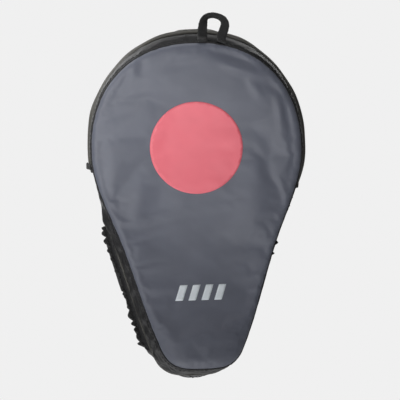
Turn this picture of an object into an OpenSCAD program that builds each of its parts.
// Curved focus mitt for the left hand: a layered, lengthwise-curved strike pad with a hand
// compartment on its back (finger hood, palm ball, thumb loop, two wrist wings and a strap).
//
// Frame: +X is to the right as seen from the strike face, -Y is the way the strike face looks,
// +Z is up, towards the fingertips. The origin is the palm centre on the back panel.
//
// Most shapes are laid out flat and then bent. A flat point is [x, s, t]: x across the pad,
// s along the back panel from the palm centre, and t forward from the back panel.

/* [Pad] */
// Width of the strike face at its widest
face_w = 192; // [180:1:204]
// Thickness of the padded body
pad_t = 42; // [38:1:46]
// Radius of the lengthwise curve, at the back panel
bend_r = 620; // [580:5:700]
// Length from the palm centre to the top of the pad
top_s = 182; // [178:1:188]
// Length from the palm centre to the bottom of the pad
bottom_s = 136; // [134:1:140]
// How much wider the rear edge is than the front edge, round the upper lobe
lobe_flare = 0.2; // [0:0.1:1.5]
// How far the rear of the wrist end is skewed towards the thumb side
lean = 9; // [0:0.5:10]

/* [Covers and foam] */
// Thickness of the synthetic leather covers
cover_t = 1.5; // [1:0.1:2]
// Thickness of the front impact foam
impact_t = 18; // [14:1:20]
// Thickness of the middle cushioning foam
cushion_t = 12; // [8:1:13]
// Thickness of the plastic stiffener board
board_t = 2; // [1.5:0.1:2.5]
// Radius of the welt piping in both seams
welt_r = 1.1; // [0.9:0.1:1.4]

/* [Strike face] */
// Radius of the printed target
target_r = 42; // [36:1:46]
// Height of the target's centre above the palm centre
target_z = 74; // [68:1:80]
// Width of the printed row of bars
mark_w = 47; // [40:1:52]
// Height of the printed row of bars
mark_h = 14; // [12:1:18]
// Height of the row of bars below the palm centre
mark_z = 57; // [54:1:64]

/* [Hand compartment] */
// Height of the finger hood at its opening
hood_h = 46; // [42:1:52]
// How far the hood stands proud of the pad's rear edge at its sides
hood_proud = 4.3; // [3:0.1:5]
// Thickness of the hood's padding
hood_foam_t = 7; // [5:0.5:9]
// Height of the wrist wings over the back panel
wing_h = 45; // [42:1:50]
// Thickness of the wings' padding
wing_foam_t = 5; // [4:0.5:6]
// Radius of the palm ball
ball_r = 31; // [28:1:34]
// Height of the palm ball
ball_h = 20; // [16:1:22]
// Height of the heel pad at the wrist end
heel_h = 15; // [12:1:17]

/* [Strap and loops] */
// Width of the wrist strap
strap_w = 44; // [38:1:50]
// Thickness of the wrist strap's tape
strap_t = 2; // [1.5:0.1:2.5]
// Width of the hanging loop's tape
loop_tape_w = 9; // [8:0.5:10]
// Height that the hanging loop stands above its hinge
loop_h = 24; // [22:1:28]

/* [Hidden] */

gap = 0.3;             // clearance between neighbouring layers
print_lift = 0.15;     // clearance between the strike face and its prints
wide_s = 75;           // where the pad is widest
lobe_n = 2.2;          // squareness of the upper lobe
waist = [70.5, -14];   // half width and place of the point where the sides turn inwards
waist_slope = 0.33;
cap_h = 26;            // height of the rounded bottom end
cap_w = 40;            // half width where the bottom end starts to round
cap_slope = 0.38;
cap_n = 3.5;           // squareness of the bottom end
lean_top = 60;         // the skew starts here and is full at lean_full
lean_full = -20;
seam_s = 48;           // where the two gussets are joined
low_flare = 0.5;
front_scale = (bend_r - pad_t) / bend_r;   // length on the front against length on the back

black = [0.09, 0.09, 0.09];
face_grey = [0.32, 0.33, 0.37];
target_red = [0.88, 0.33, 0.38];
print_pale = [0.78, 0.81, 0.83];
foam_grey = [0.55, 0.56, 0.58];
lining_grey = [0.2, 0.2, 0.21];

// ---------------------------------------------------------------- outline and bending

function clamp01(u) = min(1, max(0, u));
function smooth(u) = let (c = clamp01(u)) c * c * (3 - 2 * c);
function mix(a, b, u) = a + (b - a) * u;
function power(v, n) = sign(v) * pow(abs(v), n);

// The skew of a flat point. It grows half as fast behind the back panel as in front of it
function skew(s, t) =
    lean * smooth((lean_top - s) / (lean_top - lean_full)) * (1 - t / pad_t * (t > 0 ? 1 : 0.5));

// A flat point [x, s, t] on the curved pad
function bend(p) =
    let (a = p[1] / bend_r * 180 / PI, q = bend_r - p[2])
    [p[0] - skew(p[1], p[2]), q * cos(a) - bend_r, q * sin(a)];

// The flat place on the strike face that lies at height z
function face_s(z) = bend_r * asin(z / (bend_r - pad_t)) * PI / 180;

function hermite(a, ma, b, mb, u) =
    (2 * u * u * u - 3 * u * u + 1) * a + (u * u * u - 2 * u * u + u) * ma
    + (3 * u * u - 2 * u * u * u) * b + (u * u * u - u * u) * mb;

cap_s = cap_h - bottom_s;

function cap_point(ang) =
    let (s = cap_s - cap_h * pow(sin(ang), 2 / cap_n))
    [(cap_w - cap_slope * (cap_s - s)) * pow(cos(ang), 2 / cap_n), s];

function lobe_point(ang) =
    [face_w / 2 * pow(cos(ang), 2 / lobe_n), wide_s + (top_s - wide_s) * pow(sin(ang), 2 / lobe_n)];

lower_run = waist[1] - cap_s;
shoulder_run = wide_s - waist[1];

// The right half of the strike face's outline, from the bottom to the top
half = concat(
    [for (ang = [85:-14:15]) cap_point(ang)],
    [for (i = [0:5]) hermite([cap_w, cap_s], [cap_slope, 1] * lower_run,
                             waist, [waist_slope, 1] * lower_run, i / 6)],
    [for (i = [0:6]) hermite(waist, [waist_slope, 1] * shoulder_run,
                             [face_w / 2, wide_s], [0, 1] * shoulder_run, i / 7)],
    [for (i = [0:10]) lobe_point(8.7 * i)]
);
last = len(half) - 1;

function mirrored(p) = [-p[0], p[1]];
function tangent(i) =
    (i < last ? half[i + 1] : mirrored(half[i])) - (i > 0 ? half[i - 1] : mirrored(half[i]));
normals = [for (i = [0:last]) let (d = tangent(i)) [d[1], -d[0]] / norm(d)];

function flare(s) = mix(low_flare, lobe_flare, smooth(s / 70));

// The right half outline at depth t, moved inwards by inset
function edge(inset, t) =
    [for (i = [0:last]) half[i] + normals[i] * (flare(half[i][1]) * (1 - t / pad_t) - inset)];

// Half width of the pad's rear edge at s
rear_table = [for (p = edge(0, 0)) [p[1], p[0]]];
function rear_w(s) = lookup(s, rear_table);

function whole(right) = concat(right, [for (i = [len(right) - 1:-1:0]) mirrored(right[i])]);

// ---------------------------------------------------------------- solids

// Joins rings of points into one closed solid. Every ring has the same even number of points
module loft(rings, closed = false, bent = true) {
    k = len(rings[0]);
    n = len(rings);
    steps = closed ? n : n - 1;
    sides = [for (i = [0:steps - 1]) for (j = [0:k - 1])
        let (a = i * k, c = ((i + 1) % n) * k, jj = (j + 1) % k)
        each [[a + j, a + jj, c + jj], [a + j, c + jj, c + j]]];
    strips = [for (j = [0:k / 2 - 2])
        each [[j, j + 1, k - 2 - j], [j, k - 2 - j, k - 1 - j]]];
    first_cap = [for (f = strips) [f[2], f[1], f[0]]];
    last_cap = [for (f = strips) f + [1, 1, 1] * (n - 1) * k];
    polyhedron([for (r = rings) for (p = r) bent ? bend(p) : p],
               closed ? sides : concat(sides, first_cap, last_cap));
}

// A layer of the pad between depths t0 and t1
module slab(inset, t0, t1) {
    a = edge(inset, t0);
    b = edge(inset, t1);
    loft([for (i = [0:last]) [
        [a[i][0], a[i][1], t0], [b[i][0], b[i][1], t1],
        [-b[i][0], b[i][1], t1], [-a[i][0], a[i][1], t0]
    ]]);
}

// Depths of the two welts: the front one lies behind the strike face's edge
front_welt_t = pad_t - cover_t - gap - welt_r;
rear_welt_t = welt_r + 0.6;
welt_inset = welt_r;

// Rings of the side band, all round the pad
band_rings =
    let (t0 = rear_welt_t + welt_r + gap, t1 = front_welt_t - welt_r - gap,
         o0 = whole(edge(0, t0)), o1 = whole(edge(0, t1)),
         i0 = whole(edge(cover_t, t0)), i1 = whole(edge(cover_t, t1)))
    [for (i = [0:2 * last + 1]) [
        [o0[i][0], o0[i][1], t0], [o1[i][0], o1[i][1], t1],
        [i1[i][0], i1[i][1], t1], [i0[i][0], i0[i][1], t0]
    ]];
seam_i = [for (i = [0:last]) if (half[i][1] > seam_s) i][0];

// Piping round the pad's edge at depth t
module welt(t, inset) {
    sides = 6;
    centre = whole(edge(inset, t));
    n = concat(normals, [for (i = [last:-1:0]) mirrored(normals[i])]);
    loft([for (i = [0:2 * last + 1]) [for (j = [0:sides - 1])
        let (a = 360 * j / sides, c = centre[i] + n[i] * welt_r * cos(a))
        [c[0], c[1], t + welt_r * sin(a)]
    ]], closed = true);
}

// A point of an arch that stands on the back panel: b runs from 0 at -x to 180 at +x
function arch(cx, w, h, b, s, n = 2.4) =
    [cx - w * power(cos(b), 2 / n), s, -gap - h * power(sin(b), 2 / n)];

// One ring of an arched shell: outer arch from left to right, then the inner arch back
function arch_ring(cx, w, h, thick0, thick1, sl, sr, b0, b1, steps) = concat(
    [for (j = [0:steps]) let (b = mix(b0, b1, j / steps), s = mix(sr, sl, (1 + cos(b)) / 2))
        arch(cx, w - thick0, max(h - thick0, 0.2), b, s)],
    [for (j = [steps:-1:0]) let (b = mix(b0, b1, j / steps), s = mix(sr, sl, (1 + cos(b)) / 2))
        arch(cx, w - thick1, max(h - thick1, 0.1), b, s)]
);

// ---------------------------------------------------------------- padded body

module strike_face() {
    color(face_grey) slab(gap, pad_t - cover_t, pad_t);
}

print_t0 = pad_t + print_lift;
print_t1 = print_t0 + 0.35;

module target_print() {
    r = target_r / front_scale;
    color(target_red) loft([for (i = [0:16])
        let (a = -84 + 168 * i / 16, w = target_r * cos(a), s = face_s(target_z) + r * sin(a))
        [[w, s, print_t0], [w, s, print_t1], [-w, s, print_t1], [-w, s, print_t0]]
    ]);
}

module mark_print() {
    bars = 4;
    pitch = mark_w / bars;
    bar_w = pitch * 0.58;
    slant = mark_h * 0.35;
    low = face_s(-mark_z - mark_h / 2);
    color(print_pale) for (k = [0:bars - 1]) {
        x0 = -mark_w / 2 + k * pitch;
        loft([for (i = [0:2])
            let (x = x0 + slant * i / 2, s = low + mark_h / front_scale * i / 2)
            [[x + bar_w, s, print_t0], [x + bar_w, s, print_t1], [x, s, print_t1], [x, s, print_t0]]
        ]);
    }
}

module front_welt() {
    color(black) welt(front_welt_t, welt_inset);
}

module rear_welt() {
    color(black) welt(rear_welt_t, welt_inset);
}

module gusset_upper() {
    color(black) loft([for (i = [seam_i:2 * last + 1 - seam_i]) band_rings[i]]);
}

module gusset_lower() {
    n = 2 * last + 2;
    color(black) loft([for (i = [n - 1 - seam_i:n + seam_i]) band_rings[i % n]]);
}

module back_panel() {
    color(black) slab(2 * welt_r + gap, 0, cover_t);
}

foam_inset = cover_t + 1.2;
board_t0 = cover_t + gap;
support_t0 = board_t0 + board_t + gap;
impact_t0 = pad_t - cover_t - gap - impact_t;
cushion_t0 = impact_t0 - gap - cushion_t;

module impact_foam() {
    color(foam_grey) slab(foam_inset + welt_r, impact_t0, impact_t0 + impact_t);
}

module cushion_foam() {
    color([0.75, 0.74, 0.68]) slab(foam_inset, cushion_t0, cushion_t0 + cushion_t);
}

module support_foam() {
    color([0.35, 0.36, 0.38]) slab(foam_inset + welt_r, support_t0, cushion_t0 - gap);
}

module stiffener_board() {
    color([0.85, 0.85, 0.84]) slab(foam_inset + 6, board_t0, board_t0 + board_t);
}

// ---------------------------------------------------------------- finger hood

hood_left_s = 58;           // the opening's edge slants, so that the thumb side is clear
hood_right_s = 38;
hood_rows = 12;

// The hood draws in to the pad's edge round its upper corners, between these places
hood_draw_s = [105, 155];
hood_draw = 0.85;

// Half width of the hood at its base
function hood_side(s) =
    rear_w(s) + hood_proud * (1 - hood_draw * smooth((s - hood_draw_s[0]) / (hood_draw_s[1] - hood_draw_s[0])));

function hood_height(v) = mix(9, hood_h, pow(max(0, 1 - pow(v, 2.4)), 1 / 2.2));

// Rings from the opening (v = 0) to the top of the pad (v = 1)
function hood_rings(thick0, thick1) = [for (i = [0:hood_rows])
    let (v = sin(90 * i / hood_rows),
         end_s = top_s + 3,
         sl = mix(hood_left_s, end_s, v), sr = mix(hood_right_s, end_s, v),
         wl = hood_side(sl), wr = hood_side(sr))
    arch_ring((wr - wl) / 2, (wl + wr) / 2, hood_height(v), thick0, thick1, sl, sr, 0, 180, 12)];

module hood_cover() {
    color(black) loft(hood_rings(0, cover_t));
}

module hood_foam() {
    color(foam_grey) loft(hood_rings(cover_t + gap, cover_t + gap + hood_foam_t));
}

module hood_lining() {
    d = cover_t + 2 * gap + hood_foam_t;
    color(lining_grey) loft(hood_rings(d, d + 0.8));
}

// Folded tape over the hood's opening edge
module hood_binding() {
    w = 2.2;
    thick = cover_t + hood_foam_t + 2.2;
    wl = hood_side(hood_left_s);
    wr = hood_side(hood_right_s);
    color(black) loft([for (j = [0:14])
        let (b = 180 * j / 14,
             s = mix(hood_right_s, hood_left_s, (1 + cos(b)) / 2) - gap,
             o = arch((wr - wl) / 2, (wl + wr) / 2, hood_h, b, s),
             i = arch((wr - wl) / 2, (wl + wr) / 2 - thick, hood_h - thick, b, s))
        [o, o - [0, w, 0], i - [0, w, 0], i]
    ]);
}

// ---------------------------------------------------------------- palm ball and thumb loop

palm_x = skew(0, 0);        // undoes the skew, so that the ball is at the palm centre

// Rings of a dome on the back panel at the palm centre
function dome_rings(r0, h0, r1, h1) = [for (i = [0:12])
    let (a = -82 + 164 * i / 12, c = cos(a))
    concat(
        [for (j = [0:8]) arch(palm_x, r0 * c, h0 * c, 180 * j / 8, r0 * sin(a), 2)],
        [for (j = [8:-1:0]) arch(palm_x, r1 * c, h1 * c, 180 * j / 8, r0 * sin(a), 2)]
    )];

module palm_ball_cover() {
    color(black) loft(dome_rings(ball_r, ball_h, ball_r - cover_t, ball_h - cover_t));
}

module palm_ball_foam() {
    r = ball_r - cover_t - 1;
    h = ball_h - cover_t - 1;
    color(foam_grey) loft(dome_rings(r, h, r * 0.96, 0.2));
}

thumb_at = [-56, 20];       // x and s of the thumb loop's middle
thumb_turn = 35;            // how far the thumb's way leans outwards
thumb_span = 17;
thumb_rise = 27;
thumb_band = 11;            // half the band's width

module thumb_loop() {
    e1 = [cos(thumb_turn), sin(thumb_turn), 0];
    e2 = [-sin(thumb_turn), cos(thumb_turn), 0] * thumb_band;
    c = [thumb_at[0], thumb_at[1], -gap];
    color(black) loft([for (j = [0:14])
        let (b = 180 * j / 14,
             o = c - e1 * thumb_span * cos(b) - [0, 0, thumb_rise * sin(b)],
             i = c - e1 * (thumb_span - 2.4) * cos(b) - [0, 0, (thumb_rise - 2.4) * sin(b)])
        [o + e2, o - e2, i - e2, i + e2]
    ]);
}

// ---------------------------------------------------------------- wrist wings

wing_top = 3;
wing_bottom = -118;
wing_rows = 10;
wing_grow = 5;              // how far the wings' roots stand outside the rear edge
wing_tuck = 7;              // how far the roots tuck in again at the bottom
wing_edge_left = 80;        // where each wing's free edge lies on the arch
wing_edge_right = 104;
wing_root_left = 4;
wing_root_right = 176;

function wing_w(s) = rear_w(s) + wing_grow - wing_tuck * pow(clamp01((wing_bottom + 21 - s) / 21), 2);
function wing_s(i) = mix(wing_bottom, wing_top, i / wing_rows);

function wing_rings(thick0, thick1, b0, b1) = [for (i = [0:wing_rows])
    let (s = wing_s(i))
    arch_ring(0, wing_w(s), wing_h, thick0, thick1, s, s, b0, b1, 7)];

module wing_binding(b, side) {
    thick = cover_t + wing_foam_t + 2;
    color(black) loft([for (i = [0:wing_rows])
        let (s = wing_s(i), w = wing_w(s), b1 = b + side * 3)
        side > 0
            ? [arch(0, w, wing_h, b, s), arch(0, w, wing_h, b1, s),
               arch(0, w - thick, wing_h - thick, b1, s), arch(0, w - thick, wing_h - thick, b, s)]
            : [arch(0, w, wing_h, b1, s), arch(0, w, wing_h, b, s),
               arch(0, w - thick, wing_h - thick, b, s), arch(0, w - thick, wing_h - thick, b1, s)]
    ]);
}

wing_foam_in = cover_t + gap;
wing_lining_in = wing_foam_in + wing_foam_t + gap;

module wing_left_cover() {
    color(black) loft(wing_rings(0, cover_t, wing_root_left, wing_edge_left));
}

module wing_left_foam() {
    color(foam_grey)
        loft(wing_rings(wing_foam_in, wing_foam_in + wing_foam_t, wing_root_left, wing_edge_left));
}

module wing_left_lining() {
    color(lining_grey) loft(wing_rings(wing_lining_in, wing_lining_in + 0.8, wing_root_left, wing_edge_left));
}

module wing_left_binding() {
    wing_binding(wing_edge_left + 0.6, 1);
}

module wing_right_cover() {
    color(black) loft(wing_rings(0, cover_t, wing_edge_right, wing_root_right));
}

module wing_right_foam() {
    color(foam_grey)
        loft(wing_rings(wing_foam_in, wing_foam_in + wing_foam_t, wing_edge_right, wing_root_right));
}

module wing_right_lining() {
    color(lining_grey)
        loft(wing_rings(wing_lining_in, wing_lining_in + 0.8, wing_edge_right, wing_root_right));
}

module wing_right_binding() {
    wing_binding(wing_edge_right - 0.6, -1);
}

// ---------------------------------------------------------------- wrist strap

strap_mid = -31;            // place of the strap's middle along the pad
patch_t = 1.3;
strap_sewn_b = 14;          // arch angles of the strap's sewn end, hinge, fold line and free end
strap_hinge_b = 43;
strap_fold_b = 94;
strap_end_b = 154;
tab_end_b = 166;

strap_gap = 0.9;            // clearance under the strap

// Height of the strap over the wings: it climbs onto the hook and loop patches
function strap_lift(b) = strap_gap + (2 * patch_t + 2 * gap) * smooth((b - 60) / 30);

// A band over the wrist arch from angle b0 to b1. It starts at height under above the wings,
// or above the strap's own lift when it rides along
module wrist_band(b0, b1, under, thick, width, steps, rides = true) {
    s0 = strap_mid - width / 2;
    s1 = strap_mid + width / 2;
    loft([for (j = [0:steps])
        let (b = mix(b0, b1, j / steps), l0 = under + (rides ? strap_lift(b) : 0), l1 = l0 + thick)
        [arch(0, wing_w(s1) + l1, wing_h + l1, b, s1), arch(0, wing_w(s0) + l1, wing_h + l1, b, s0),
         arch(0, wing_w(s0) + l0, wing_h + l0, b, s0), arch(0, wing_w(s1) + l0, wing_h + l0, b, s1)]
    ]);
}

module strap_anchor() {
    color(black) wrist_band(strap_sewn_b, strap_hinge_b - 0.6, 0, strap_t, strap_w, 5);
}

module strap_base_tape() {
    color(black) wrist_band(strap_hinge_b, strap_fold_b, 0, strap_t, strap_w, 9);
}

module strap_tip_tape() {
    color(black) wrist_band(strap_fold_b + 0.8, strap_end_b, 0, strap_t, strap_w, 9);
}

module hook_patch() {
    color([0.13, 0.13, 0.14])
        wrist_band(wing_edge_right + 5, strap_end_b - 2, -gap - patch_t, patch_t, strap_w - 4, 8);
}

module loop_patch() {
    color([0.16, 0.16, 0.17])
        wrist_band(wing_edge_right + 3, strap_end_b + 2, gap, patch_t, strap_w + 4, 8, rides = false);
}

module strap_pull_tab() {
    color(black)
        wrist_band(strap_end_b + 0.6, tab_end_b, -0.4, strap_t + 0.8, strap_w - 12, 3);
}

// ---------------------------------------------------------------- heel pad

heel_top = -120.5;
heel_end = 2;               // how far it reaches past the bottom of the pad
heel_w = 31;
heel_n = 1.7;                // squareness of its rounded end

// Rings of the low padded roll across the wrist end of the back panel
function heel_rings(thick0, thick1) = [for (i = [0:8])
    let (v = 0.99 * sin(90 * i / 8), round_off = pow(1 - pow(v, heel_n), 1 / heel_n),
         s = mix(heel_top, -bottom_s - heel_end, v))
    arch_ring(0, heel_w * round_off, heel_h * round_off, thick0 * round_off, thick1 * round_off,
              s, s, 0, 180, 10)];

module heel_pad_cover() {
    color(black) loft(heel_rings(0, cover_t));
}

module heel_pad_foam() {
    color(foam_grey) loft(heel_rings(cover_t + gap, heel_h - 1));
}

// ---------------------------------------------------------------- hanging loop

loop_x = 16;                // the loop is sewn in to the right of the middle
loop_leg = 8.6;             // half the distance between its two legs
loop_tape_t = 1.6;
loop_drop = 1.7;            // how much lower the front seam runs at the right leg
sewn_from = 4.8;            // the tape's ends lie on the gusset between these two lines
sewn_to = 9;
loop_hinge = 10.8;          // the free part hinges here,
loop_stand = 2.4;           // this far off the gusset
front_edge = bend([0, top_s, pad_t]);
rear_edge = bend([0, top_s + lobe_flare, 0]);
gusset_way = (rear_edge - front_edge) / norm(rear_edge - front_edge);
gusset_out = [0, -gusset_way[2], gusset_way[1]];
loop_pivot = front_edge + gusset_way * loop_hinge + gusset_out * loop_stand;

// The two ends of the loop's tape, flat on the gusset behind the front seam
module loop_tape_ends() {
    color(black) for (side = [-1, 1]) {
        foot = front_edge + [loop_x + side * loop_leg, 0, 0]
             + gusset_out * (gap - (side > 0 ? loop_drop : 0));
        half_w = [loop_tape_w / 2, 0, 0];
        thick = gusset_out * loop_tape_t;
        loft([for (d = [sewn_from, sewn_to])
            let (p = foot + gusset_way * d)
            [p + half_w, p - half_w, p - half_w + thick, p + half_w + thick]
        ], bent = false);
    }
}

// The free part of the tape: up one leg, over and down the other, leaning to the right and
// turning edge-on at the top
module hang_loop_tape() {
    steps = 22;
    color(black) loft([for (i = [0:steps])
        let (b = mix(-8, 188, i / steps),
             up = max(0, sin(b)),
             x = loop_x - (loop_leg + 2.4 * pow(up, 0.6)) * power(cos(b), 0.8) + 2.5 * up,
             z = (loop_h - 3.5) * pow(up, 0.72) + min(0, sin(b)) * 8 + 2.2,
             c = loop_pivot + [x, 0, z],
             turn = 90 * smooth(1.15 * up),
             out = [-cos(b), 0, max(0.05, up)] / norm([-cos(b), 0, max(0.05, up)]),
             wide = (out * cos(turn) - [0, sin(turn), 0]) * loop_tape_w / 2,
             thin = (out * sin(turn) + [0, cos(turn), 0]) * loop_tape_t / 2)
        [c + wide - thin, c + wide + thin, c - wide + thin, c - wide - thin]
    ], bent = false);
}

// ---------------------------------------------------------------- assembly

strike_face();
target_print();
mark_print();
front_welt();
gusset_upper();
gusset_lower();
rear_welt();
back_panel();
impact_foam();
cushion_foam();
support_foam();
stiffener_board();
hood_cover();
hood_foam();
hood_lining();
hood_binding();
palm_ball_cover();
palm_ball_foam();
thumb_loop();
heel_pad_cover();
heel_pad_foam();
loop_tape_ends();
hang_loop_tape();
wing_left_cover();
wing_left_foam();
wing_left_lining();
wing_left_binding();
strap_anchor();
wing_right_cover();
wing_right_foam();
wing_right_lining();
wing_right_binding();
loop_patch();
strap_base_tape();
strap_tip_tape();
hook_patch();
strap_pull_tab();
